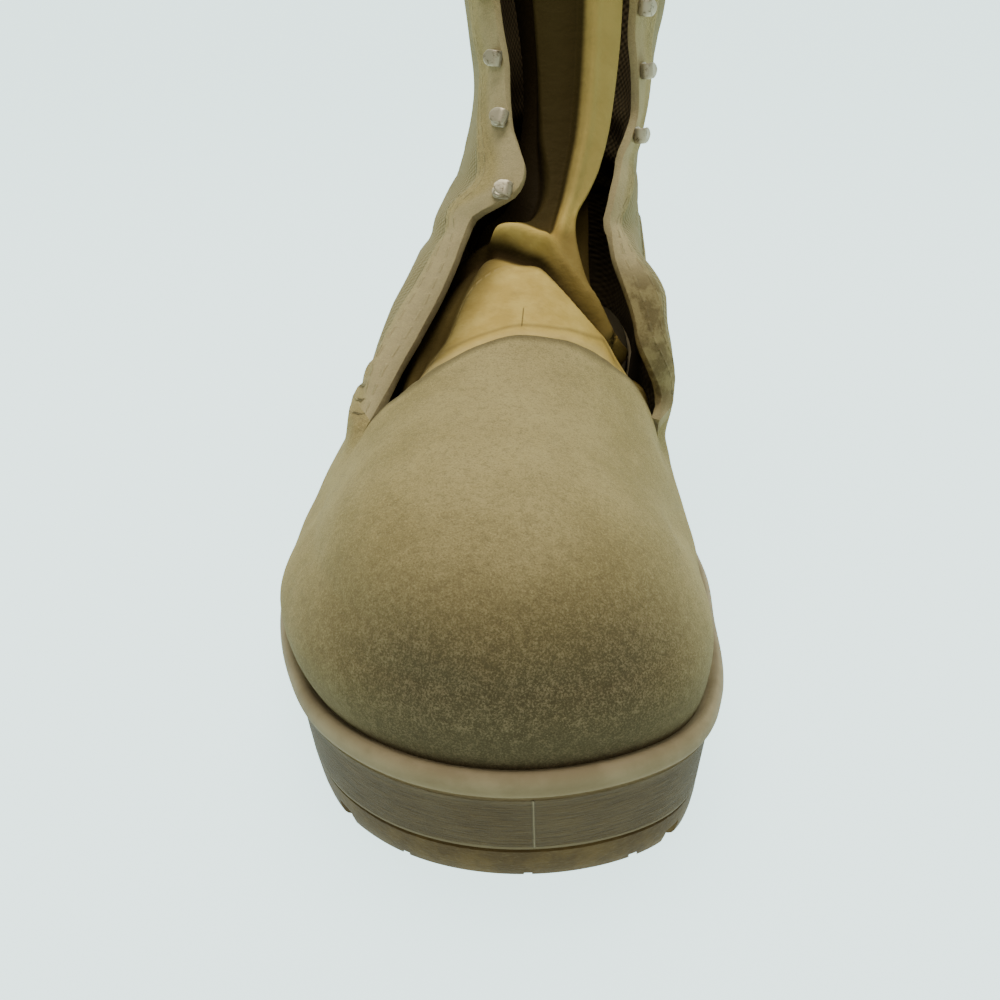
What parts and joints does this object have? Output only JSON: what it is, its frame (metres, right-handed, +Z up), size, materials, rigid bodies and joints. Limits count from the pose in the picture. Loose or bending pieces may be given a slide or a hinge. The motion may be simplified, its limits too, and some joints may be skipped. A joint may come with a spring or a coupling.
{
  "type": "combat boot",
  "caption": "Tall lace-up boot with a plain rounded toe, hollow shaft open at collar and throat, tongue, lace hooks and a thick moulded sole with a heel block.",
  "frame": {"origin": "centre of the boot's box, at the height of the floor it stands on", "axes": "+Z up, -Y towards the toe, +X towards the medial side of a right foot"},
  "size_m": [0.1176, 0.2976, 0.2547],
  "materials": {
    "tread_rubber": "moulded olive-tan rubber, dusty",
    "sidewall_rubber": "moulded tan rubber with a horizontally rubbed side wall",
    "insole_board": "plain felted footbed",
    "suede": "rough-out suede, darkened at the toe",
    "tongue_leather": "smooth thin tan leather, creased at the ankle",
    "hook_metal": "tan lacquered metal, worn"
  },
  "bodies": {
    "root": {"outsole": "tread_rubber", "midsole": "sidewall_rubber", "insole": "insole_board", "upper": "suede", "tongue": "tongue_leather", "hook_lateral_1": "hook_metal", "hook_lateral_2": "hook_metal", "hook_lateral_3": "hook_metal", "hook_lateral_4": "hook_metal", "hook_lateral_5": "hook_metal", "hook_lateral_6": "hook_metal", "hook_lateral_7": "hook_metal", "hook_medial_1": "hook_metal", "hook_medial_2": "hook_metal", "hook_medial_3": "hook_metal", "hook_medial_4": "hook_metal", "hook_medial_5": "hook_metal", "hook_medial_6": "hook_metal", "hook_medial_7": "hook_metal"}
  },
  "joints": []
}
